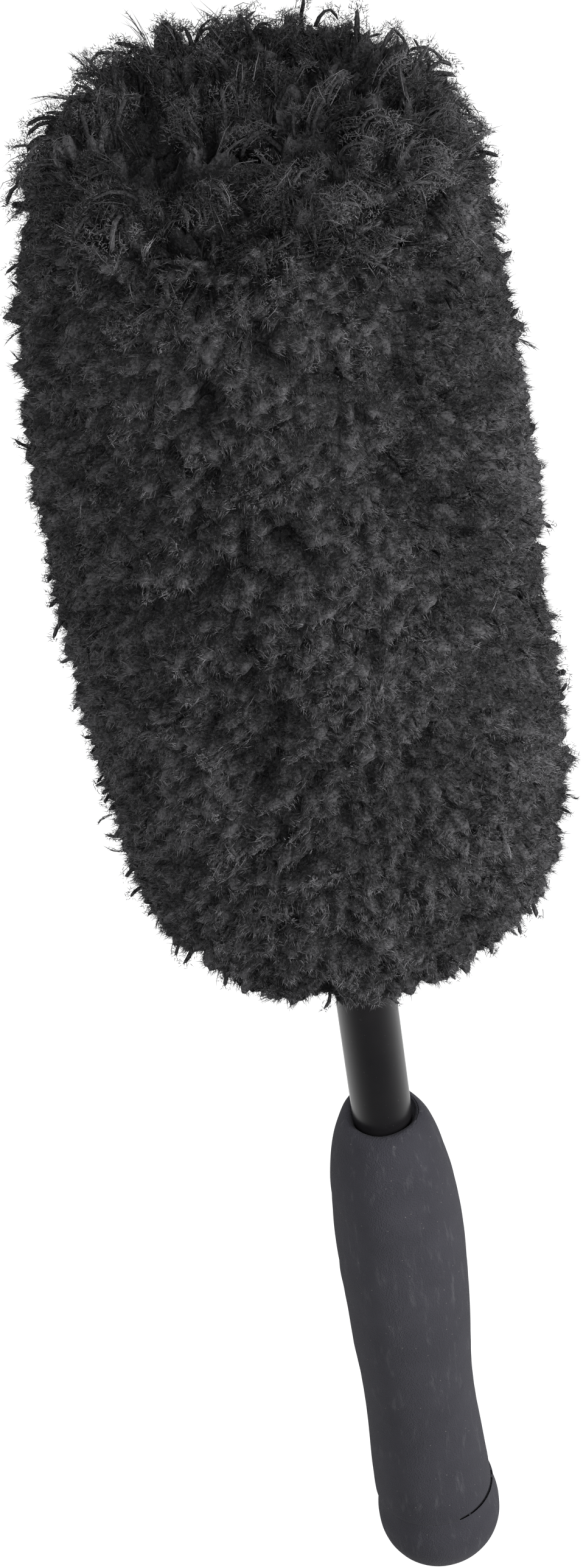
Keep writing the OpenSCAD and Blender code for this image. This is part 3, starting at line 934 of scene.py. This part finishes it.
def pile_mass(pelt, material):
    """The dense lower pile that the locks stand in: a closed lumpy shell over the backing."""
    rows, around = pelt.ROWS, pelt.AROUND
    S, T, point, normal, rise, dark = pelt.grid
    theta = T[:around]
    height = pelt.map[2] + rise
    depth = (1.6 + 1.8 * pelt.shaggy(S)) * MM - height
    ease = np.clip(S / LOW_EDGE, 0, 1)
    outer = (point - normal * (depth * ease)[:, None]).reshape(rows, around, 3)
    inner_line = np.concatenate([
        [[HEM_R + 1.0 * MM, HEM_TOP + 1.2 * MM]],
        [[BACKING_R + 0.5 * MM, BACKING_LOW + 0.5 * MM]],
        superellipse(0, DOME_LOW, BACKING_R + 0.5 * MM, BACKING_TOP - DOME_LOW + 0.5 * MM, 2, 0, 88, 16),
    ])
    rings = [outer]
    for r, z in inner_line[::-1]:
        rings.append(np.stack([r * np.cos(theta), r * np.sin(theta), np.full(around, z)], -1)[None])
    points = np.concatenate(rings).reshape(-1, 3)
    total = rows + len(inner_line)
    quads, i, j = ring_quads(np.arange(total), total, around)
    square = ((0, 0), (1, 0), (1, 1), (0, 1))
    uv = np.stack([np.stack([(j + a) / around, (i + b) / total], -1) for a, b in square], 2)
    # Painted shade: the dense lower pile is darker than the fibres over it, darker where it lies low and in the
    # gaps between tufts, and darkest on the hidden inner rings.
    tone = np.clip(0.2 + np.clip(pelt.map[2] / (8 * MM), -0.2, 0.1) + dark, 0, 1)
    tone = np.concatenate([tone, np.zeros(len(points) - rows * around)])
    values = {"tone": tone, "along": np.full(len(points), 0.35)}
    sizes = np.full(len(quads), 4)
    return fast_mesh("pile_mass", points, quads.ravel(), sizes, material, uv.reshape(-1, 2), values)


def mass_fuzz(pelt, count):
    """Short fibre ends all over the dense lower pile, between the locks."""
    at = np.linspace(0, pelt.length, len(pelt.line))
    share = np.cumsum(pelt.line[:, 0])
    s = np.interp(rng.uniform(0, share[-1], count), share, at)
    theta = rng.uniform(0, 2 * np.pi, count)
    point, normal, down = skin_at(s, theta, pelt.line, pelt.length)
    around = round_way(theta)
    parent, crease, height = pelt.relief(s, theta)
    cell, offset, rise, dark = pelt.dome(s, theta)
    depth = (1.8 + 1.8 * pelt.shaggy(s)) * MM - height - rise
    base = point - normal * (depth * np.clip(s / LOW_EDGE, 0, 1))[:, None]
    gather = (offset[:, :1] * around + offset[:, 1:] * down) / (3.2 * MM)
    lean = 0.15 * pelt.lean[parent] + pelt.tuft_lean[cell] - gather
    aim = unit(normal + lean + rng.normal(0, 0.42, (count, 3)))
    reach = rng.uniform(1.0, 2.5, count) * MM * (1 - 0.5 * crease)
    # Painted shade: fibre ends set low in the pile, in the gaps between tufts and in the creases are darker, and
    # those on a tuft's top lighter.
    tone = 0.46 + rng.normal(0, 0.27, count) + np.clip(height / (2.6 * MM), -1, 0.1) + dark + low_paler(point)
    return spikes(base, aim, reach, tone, np.full(count, 0.8) - 0.7 * crease), point


def some_of(made, mask):
    """The tubes of a made set that the mask picks."""
    points, corners, sizes, values, (rings, radial, count) = made
    per = rings * radial + 1
    kept = int(mask.sum())
    points = points.reshape(count, per, 3)[mask].reshape(-1, 3)
    values = {key: v.reshape(count, per)[mask].ravel() for key, v in values.items()}
    corners, sizes = sleeve_mesh(rings, kept, radial)
    return points, corners, sizes, values, (rings, radial, kept)


def make_pile():
    material = pile_material()
    pelt = Pelt()
    mass = pile_mass(pelt, material)
    pieces = [mass]
    tufts, point = plant(pelt)
    for number, band in enumerate(np.array_split(np.argsort(point[:, 2], kind="stable"), LOCK_BANDS)):
        part = tufts.part(band)
        pieces.append(tube_piece(f"pile_locks_{number}", lock_cores(part.part(part.pinch < 0.6)), material))
        pieces.append(tube_piece(f"pile_fibres_{number}", lock_fibres(part), material))
        pieces.append(tube_piece(f"pile_fuzz_{number}", lock_fuzz(part), material))
    made, point = mass_fuzz(pelt, NAP_FIBRES)
    for number, band in enumerate(np.array_split(np.argsort(point[:, 2], kind="stable"), NAP_BANDS)):
        mask = np.zeros(len(point), bool)
        mask[band] = True
        pieces.append(tube_piece(f"pile_nap_{number}", some_of(made, mask), material))
    for piece in pieces:
        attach(piece, "cover")
    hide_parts("cover_pile", "skirt_pile")
    return pieces


# ---------------------------------------------------------------- other pieces


def lathe(name, outline, material, shift=None, around=192, step=0.7 * MM):
    """A surface of revolution from a closed outline of radii and heights, pushed along its normals by shift."""
    outline = np.asarray(outline, float)
    loop = np.concatenate([outline, outline[:1]])
    on_axis = loop[:, 0].min() < 0.01 * MM
    if on_axis:
        loop = outline
    at = np.concatenate([[0], np.cumsum(np.linalg.norm(np.diff(loop, axis=0), axis=1))])
    want = np.unique(np.concatenate([at, np.linspace(0, at[-1], max(int(at[-1] / step), 8))]))
    line = np.stack([np.interp(want, at, loop[:, k]) for k in (0, 1)], -1)
    if not on_axis:
        line = line[:-1]
    rows = len(line)
    ahead = np.roll(line, -1, 0) - np.roll(line, 1, 0)
    if on_axis:
        ahead[0], ahead[-1] = line[1] - line[0], line[-1] - line[-2]
    ahead = unit(ahead)
    theta = np.linspace(0, 2 * np.pi, around, endpoint=False)
    c, n = np.cos(theta), np.sin(theta)
    points = np.stack([line[:, :1] * c, line[:, :1] * n, np.repeat(line[:, 1:], around, 1)], -1)
    normals = np.stack([ahead[:, 1:] * c, ahead[:, 1:] * n, np.repeat(-ahead[:, :1], around, 1)], -1)
    if shift:
        flat, turn = points.reshape(-1, 3), np.tile(theta, rows)
        points = (flat + normals.reshape(-1, 3) * shift(flat, turn)[:, None]).reshape(rows, around, 3)
    quads = ring_quads(np.arange(rows - 1 if on_axis else rows), rows, around)[0]
    thing = mesh_object(name, points.reshape(-1, 3), quads, material, smooth=True)
    if on_axis:
        weld(thing)
    return thing


def weld(thing):
    """Joins the points that meet on the axis and drops the faces that this leaves empty."""
    work = bmesh.new()
    work.from_mesh(thing.data)
    bmesh.ops.remove_doubles(work, verts=work.verts, dist=0.005 * MM)
    bmesh.ops.dissolve_degenerate(work, edges=work.edges, dist=0.002 * MM)
    work.to_mesh(thing.data)
    work.free()
    thing.data.shade_smooth()


def place(piece, body, slot, *nodes):
    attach(piece, body)
    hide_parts(*nodes)
    return piece


def foam_shift(amount, dents):
    """Low soft dents and a finer unevenness, as in cut or moulded foam."""
    soft, fine = Wobble(), Wobble()
    return lambda points, theta: dents * soft(points, 22 * MM) + amount * fine(points, 3 * MM)


CREASE_R = BALL_R - 1.15 * MM
CREASE_LAND = 1.2 * MM      # height of the rolled edge on each side of the crease
CREASE_BULGE = 0.35 * MM    # how far that edge stands out
LINING = 0.3 * MM           # foam this close to the tube stays where it is
BALL_STEP = 0.75 * MM       # how far the ball sits to one side of the tube
SLEEVE_STEP = 0.2 * MM      # and the sleeve's lower end
WAIST = (13.85 * MM, 58.6 * MM)
SWELL_Z = 120.6 * MM
LIP_R = 1.0 * MM
LIP_CREST_R = SHAFT_R + 1.4 * MM


def sag(thing, amount):
    """Moves a grip piece to +X by amount(heights): the foam's lower end sits a little to one side of the tube."""

    def change(points):
        foam = np.clip((np.hypot(points[:, 0], points[:, 1]) - SHAFT_R) / (2 * MM), 0, 1)
        points[:, 0] += foam * amount(points[:, 2])

    move_points(thing, change)


def make_grip(material):
    """The moulded foam sleeve, and the ball end under the crease."""
    lip_z = GRIP_TOP - LIP_R
    sleeve = np.concatenate([
        [[SHAFT_R, CREASE_Z], [CREASE_R - CREASE_LAND, CREASE_Z]],
        superellipse(CREASE_R, CREASE_Z + CREASE_LAND, CREASE_BULGE, CREASE_LAND, 2, -90, 0, 8),
        eased((CREASE_R + CREASE_BULGE, CREASE_Z + CREASE_LAND), WAIST, 30)[1:],
        eased(WAIST, (SWELL_R, SWELL_Z), 50)[1:],
        superellipse(LIP_CREST_R, SWELL_Z, SWELL_R - LIP_CREST_R, GRIP_TOP - SWELL_Z, 1.95, 4, 90, 44),
        superellipse(LIP_CREST_R, lip_z, LIP_R, LIP_R, 2, 100, 180, 10),
        [[SHAFT_R, lip_z - 0.8 * MM]],
    ])
    wear, ripple, dent = foam_shift(0.012 * MM, 0.14 * MM), Wobble(), Wobble()

    def sleeve_shift(points, theta):
        inside = np.hypot(points[:, 0], points[:, 1]) < SHAFT_R + LINING
        lip = np.exp(-(((points[:, 2] - lip_z) / (5 * MM)) ** 2)) * 0.35 * MM * ripple(points, 9 * MM)
        hollow = -0.3 * MM * np.clip(dent(points, 30 * MM) - 0.4, 0, 1) ** 2
        return np.where(inside, 0, wear(points, theta) + lip + hollow)

    sleeve = lathe("grip_foam_sleeve", sleeve, material, sleeve_shift, step=1 * MM)
    sag(sleeve, lambda z: SLEEVE_STEP * np.clip(1 - (z - CREASE_Z) / (30 * MM), 0, 1))
    place(sleeve, "handle", "grip_foam", "grip_sleeve")
    plug_z = low("shaft_end_plug").z
    ball = np.concatenate([
        superellipse(0, BALL_R, BALL_R, BALL_R, 2, -90, 0, 40),
        eased((BALL_R, BALL_R + 2 * MM), (CREASE_R + CREASE_BULGE, CREASE_Z - CREASE_LAND), 10),
        superellipse(CREASE_R, CREASE_Z - CREASE_LAND, CREASE_BULGE, CREASE_LAND, 2, 20, 90, 8),
        [[CREASE_R - CREASE_LAND, CREASE_Z], [SHAFT_R, CREASE_Z], [SHAFT_R, plug_z], [0, plug_z]],
    ])
    shift = foam_shift(0.012 * MM, 0.12 * MM)

    def ball_shift(points, theta):
        inside = np.hypot(points[:, 0], points[:, 1]) < SHAFT_R + LINING
        return np.where(inside, 0, shift(points, theta))

    ball = lathe("grip_foam_ball", ball, material, ball_shift)
    sag(ball, lambda z: np.full(len(z), BALL_STEP))
    place(ball, "handle", "grip_foam", "grip_end_cap")


def make_core():
    """The foam under the cover: the dense core, the soft wrap with its glued joint, and the nose cap."""
    dense = foam_material("core_foam", (0.09, 0.093, 0.1), (0.15, 0.155, 0.16), 900)
    soft = foam_material("wrap_foam", (0.2, 0.205, 0.21), (0.3, 0.305, 0.31), 700)
    bottom, top, core_in = low("foam_wrap").z, CORE_TOP, high("foam_core").x
    boss_r, boss_top = 11 * MM, high("lower_collar").z
    core = lathe("dense_foam_core", [
        (SHAFT_R, boss_top), (boss_r, boss_top), (boss_r, bottom),
        (core_in, bottom), (core_in, top), (SHAFT_R, top),
    ], dense)
    place(core, "handle", "core_foam", "foam_core")
    chamfer = 6 * MM
    wrap_line = np.concatenate([
        [[core_in, bottom]],
        superellipse(CORE_R - chamfer, bottom + chamfer, chamfer, chamfer, 2, -88, 0, 12),
        superellipse(CORE_R - 1 * MM, top - 1 * MM, 1 * MM, 1 * MM, 2, 0, 90, 6),
        [[core_in, top]],
    ])
    dents = foam_shift(0.1 * MM, 0.35 * MM)

    def wrap_shift(points, theta):
        outside = np.clip((np.hypot(points[:, 0], points[:, 1]) - core_in) / (8 * MM), 0, 1)
        joint = -0.9 * MM * np.exp(-(((theta - 1.9) * CORE_R) / (0.9 * MM)) ** 2)
        # Faint rings, as where the cover has pressed the foam.
        pressed = -0.25 * MM * (0.5 + 0.5 * np.sin(points[:, 2] / (5.5 * MM))) ** 6
        inward = np.minimum(dents(points, theta), 0.3 * MM) - 0.35 * MM
        return outside * (inward + joint + pressed)

    wrap = lathe("soft_foam_wrap", wrap_line, soft, wrap_shift, around=260, step=1 * MM)
    place(wrap, "handle", "wrap_foam", "foam_wrap")
    cavity_r, cavity_top = high("tip_washer").x + 0.6 * MM, high("tip_screw").z + 0.6 * MM
    flange_r, flange_top = high("top_flange").x, high("top_flange").z
    cap_line = np.concatenate([
        [[0, cavity_top], [cavity_r, cavity_top], [cavity_r, flange_top], [flange_r, flange_top], [flange_r, top]],
        [[CORE_R - 0.8 * MM, top]],
        superellipse(0, top + 3 * MM, CORE_R - 0.3 * MM, NOSE_TOP - top - 3 * MM, 2.2, 0, 90, 40),
    ])
    rough = foam_shift(0.08 * MM, 0.2 * MM)

    def cap_shift(points, theta):
        outside = (points[:, 2] > flange_top + 0.5 * MM) & (np.hypot(points[:, 0], points[:, 1]) > cavity_r)
        return np.where(outside, 1, 0) * (np.minimum(rough(points, theta), 0.15 * MM) - 0.15 * MM)

    cap = lathe("foam_nose", cap_line, dense, cap_shift)
    place(cap, "handle", "core_foam", "nose_cap")


def stitches(name, paths, girth, material):
    """Short thread stitches: a rounded tube along each list of points."""
    points, faces = [], []
    for path in paths:
        path = [Vector(p) for p in path]
        base = len(points)
        for k, here in enumerate(path):
            way = (path[min(k + 1, len(path) - 1)] - path[max(k - 1, 0)]).normalized()
            first = way.orthogonal().normalized()
            second = way.cross(first)
            size = girth / 2 * (0.45 if k in (0, len(path) - 1) else 1)
            for j in range(6):
                a = math.pi * j / 3
                points.append(here + size * (math.cos(a) * first + math.sin(a) * second))
        for k in range(len(path) - 1):
            for j in range(6):
                a, b = base + k * 6 + j, base + k * 6 + (j + 1) % 6
                faces.append((a, b, b + 6, a + 6))
        end = base + (len(path) - 1) * 6
        faces.append(tuple(base + j for j in reversed(range(6))))
        faces.append(tuple(end + j for j in range(6)))
    return mesh_object(name, points, faces, material, smooth=True)


def make_cover_cloth():
    """The knitted backing, its puckered skirt, the hem with its elastic, and the sewing."""
    knit = knit_material("backing_knit", (0.022, 0.022, 0.024), (0.05, 0.05, 0.052), 130, 4200)
    tape = cloth_material("seam_tape", (0.012, 0.012, 0.013), (0.028, 0.028, 0.03), 1600)
    thread = cloth_material("thread", (0.008, 0.008, 0.009), (0.022, 0.022, 0.023), 2600)
    covered = cloth_material("elastic", (0.55, 0.55, 0.52), (0.72, 0.72, 0.69), 1900)
    inner_r = BACKING_R - CLOTH_T
    inside_top = BACKING_TOP - CLOTH_T
    outline = np.concatenate([
        superellipse(0, DOME_LOW, inner_r, inside_top - DOME_LOW, 2, 90, 0, 40),
        [[inner_r, BACKING_LOW], [BACKING_R, BACKING_LOW]],
        superellipse(0, DOME_LOW, BACKING_R, BACKING_TOP - DOME_LOW, 2, 0, 90, 40),
    ])
    ease = Wobble()
    backing = lathe("knitted_backing", outline, knit, lambda p, t: 0.1 * MM * ease(p, 16 * MM),
                    around=220, step=1.1 * MM)
    place(backing, "cover", "backing_knit", "cover_backing")

    outline = [(HEM_R, HEM_TOP - 1.4 * MM), (inner_r, BACKING_LOW), (inner_r, BACKING_LOW + 0.9 * MM),
               (HEM_R, HEM_TOP - 0.5 * MM)]

    def gathers(points, theta):
        r = np.hypot(points[:, 0], points[:, 1])
        share = np.clip((inner_r - r) / (inner_r - HEM_R), 0, 1)
        return 0.35 * MM * share * np.sin(26 * theta + 1.4 * np.sin(3 * theta))

    skirt = lathe("puckered_skirt", outline, knit, None, around=312)
    lift(skirt, gathers)
    place(skirt, "cover", "backing_knit", "skirt_backing")

    wall = 0.9 * MM
    outline = [(HEM_IN_R, HEM_LOW), (HEM_R, HEM_LOW), (HEM_R, HEM_TOP), (HEM_R - wall, HEM_TOP),
               (HEM_R - wall, HEM_LOW + wall), (HEM_IN_R + wall, HEM_LOW + wall), (HEM_IN_R + wall, HEM_TOP),
               (HEM_IN_R, HEM_TOP)]

    def puckers(points, theta):
        return 0.12 * MM * np.sin(34 * theta + 2 * np.sin(5 * theta)) - 0.1 * MM

    hem = lathe("gathered_hem", outline, tape, puckers, around=340, step=0.5 * MM)
    place(hem, "cover", "seam_tape", "hem_channel")

    ring_z, ring_r = low("hem_elastic").z + 0.85 * MM, high("hem_elastic").x - 0.85 * MM
    ring = superellipse(ring_r, ring_z, 0.8 * MM, 0.8 * MM, 2, 0, 345, 24)
    cord = lathe("covered_elastic", ring, covered, lambda p, t: 0.05 * MM * np.sin(180 * t + p[:, 2] / (0.1 * MM)),
                 around=720, step=0.3 * MM)
    place(cord, "cover", "elastic", "hem_elastic")

    row_r, row_z = high("hem_stitch").x - 0.3 * MM, low("hem_stitch").z
    paths = []
    for k in range(44):
        a = 2 * math.pi * k / 44
        path = []
        for t in (0, 0.15, 0.5, 0.85, 1):
            turn = a + t * 0.105
            r = row_r - 0.25 * MM * (t in (0, 1))
            path.append((r * math.cos(turn), r * math.sin(turn), row_z + (0.1 + 0.45 * t) * MM))
        paths.append(path)
    sewing = place(stitches("hem_stitches", paths, 0.42 * MM, thread), "cover", "thread", "hem_stitch")
    seams = make_seams(tape, thread)


def lift(thing, rise):
    """Moves each point of a mesh straight up by rise(points, angles)."""

    def change(points):
        points[:, 2] += rise(points, np.arctan2(points[:, 1], points[:, 0]))

    move_points(thing, change)


def make_seams(tape, thread):
    """The overlocked side seam inside the backing, and the gathered seam that closes the tip."""
    box_low, box_high = low("side_seam"), high("side_seam")
    radius = BACKING_R - CLOTH_T
    half, thick = box_high.x, 0.7 * MM
    rows, across = 260, 13
    points, faces = [], []
    for side in (0, 1):
        for i in range(rows + 1):
            z = box_low.z + (box_high.z - box_low.z) * i / rows
            for j in range(across):
                share = j / (across - 1)
                x = -half + 2 * half * share
                edge = 0.25 * MM * math.sin(i * 1.9) * (share > 0.95)
                loops = 0.12 * MM * math.sin(i * 0.95 + 2.5 * share) * (0.3 + share)
                r = radius - (0.02 * MM if side == 0 else thick - 0.15 * MM + loops)
                x += edge
                points.append((x, math.sqrt(r * r - x * x), z))
    sheet = (rows + 1) * across
    for side, offset in ((0, 0), (1, sheet)):
        for i in range(rows):
            for j in range(across - 1):
                a = offset + i * across + j
                quad = (a, a + 1, a + 1 + across, a + across)
                faces.append(quad if side == 0 else quad[::-1])
    for i in range(rows):
        for j, flip in ((0, False), (across - 1, True)):
            a = i * across + j
            quad = (a, a + across, a + across + sheet, a + sheet)
            faces.append(quad[::-1] if flip else quad)
    for i, flip in ((0, True), (rows, False)):
        for j in range(across - 1):
            a = i * across + j
            quad = (a, a + 1, a + 1 + sheet, a + sheet)
            faces.append(quad[::-1] if flip else quad)
    seam = mesh_object("overlocked_seam", points, faces, tape, smooth=True)
    place(seam, "cover", "seam_tape", "side_seam")

    tip_low, tip_high = low("tip_seam"), high("tip_seam")

    def dome_z(x, y):
        share = 1 - (x * x + y * y) / (BACKING_R * BACKING_R)
        return DOME_LOW + (BACKING_TOP - DOME_LOW) * math.sqrt(max(share, 0)) + 0.1 * MM

    # Two gathered layers side by side, each a wavy strip that stands on the dome.
    points, faces = [], []
    columns, levels = 120, 8
    for layer in (-1, 1):
        base = len(points)
        for i in range(columns + 1):
            x = tip_low.x + 0.3 * MM + (tip_high.x - tip_low.x - 0.6 * MM) * i / columns
            ruffle = 0.25 * MM * math.sin(i * 0.62 + layer) + 0.1 * MM * math.sin(i * 1.7)
            for side in (-0.28 * MM, 0.28 * MM):
                for k in range(levels):
                    share = k / (levels - 1)
                    y = SEAM_Y + layer * 0.5 * MM + side + ruffle * share * 0.6
                    foot = dome_z(x, y)
                    top = tip_high.z - 0.3 * MM + 0.25 * MM * math.sin(i * 0.9 + layer)
                    points.append((x, y, foot + (top - foot) * share))
        across = 2 * levels
        for i in range(columns):
            a = base + i * across
            for k in range(levels - 1):
                faces.append((a + k, a + k + 1, a + across + k + 1, a + across + k))
                b = a + levels
                faces.append((b + k, b + across + k, b + across + k + 1, b + k + 1))
            top = a + levels - 1
            faces.append((top, top + levels, top + levels + across, top + across))
            faces.append((a, a + across, a + across + levels, a + levels))
        for a, flip in ((base, False), (base + columns * across, True)):
            for k in range(levels - 1):
                quad = (a + k, a + levels + k, a + levels + k + 1, a + k + 1)
                faces.append(quad[::-1] if flip else quad)
    fold = mesh_object("gathered_tip_seam", points, faces, tape, smooth=True)
    place(fold, "cover", "seam_tape", "tip_seam")
    paths = []
    for k in range(14):
        x = tip_low.x + 1.2 * MM + (tip_high.x - tip_low.x - 2.4 * MM) * k / 13
        z = tip_high.z - 1.9 * MM
        over = tip_high.z - 0.15 * MM
        paths.append([(x, SEAM_Y - 0.95 * MM, z), (x + 0.3 * MM, SEAM_Y - 0.9 * MM, over - 0.5 * MM),
                      (x + 0.6 * MM, SEAM_Y, over), (x + 0.9 * MM, SEAM_Y + 0.9 * MM, over - 0.5 * MM),
                      (x + 1.2 * MM, SEAM_Y + 0.95 * MM, z)])
    sewing = stitches("tip_stitches", paths, 0.4 * MM, thread)
    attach(sewing, "cover")
    return seam, fold, sewing


def finish_cad(names, material):
    """Gives CAD parts that are shown as they are a finished material."""
    for name in names:
        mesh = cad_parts[name].data
        mesh.materials.clear()
        mesh.materials.append(material)


# ---------------------------------------------------------------- build

make_camera()
make_stage()
pile = make_pile()
make_grip(grip_material())
make_core()
make_cover_cloth()
finish_cad(["shaft_tube"], tube_material())
finish_cad(["shaft_end_plug", "shaft_top_plug", "lower_collar", "top_flange"], plastic_material())
finish_cad(["collar_pin", "tip_washer", "tip_screw"], steel_material())
bpy.context.scene.view_settings.view_transform = "Standard"
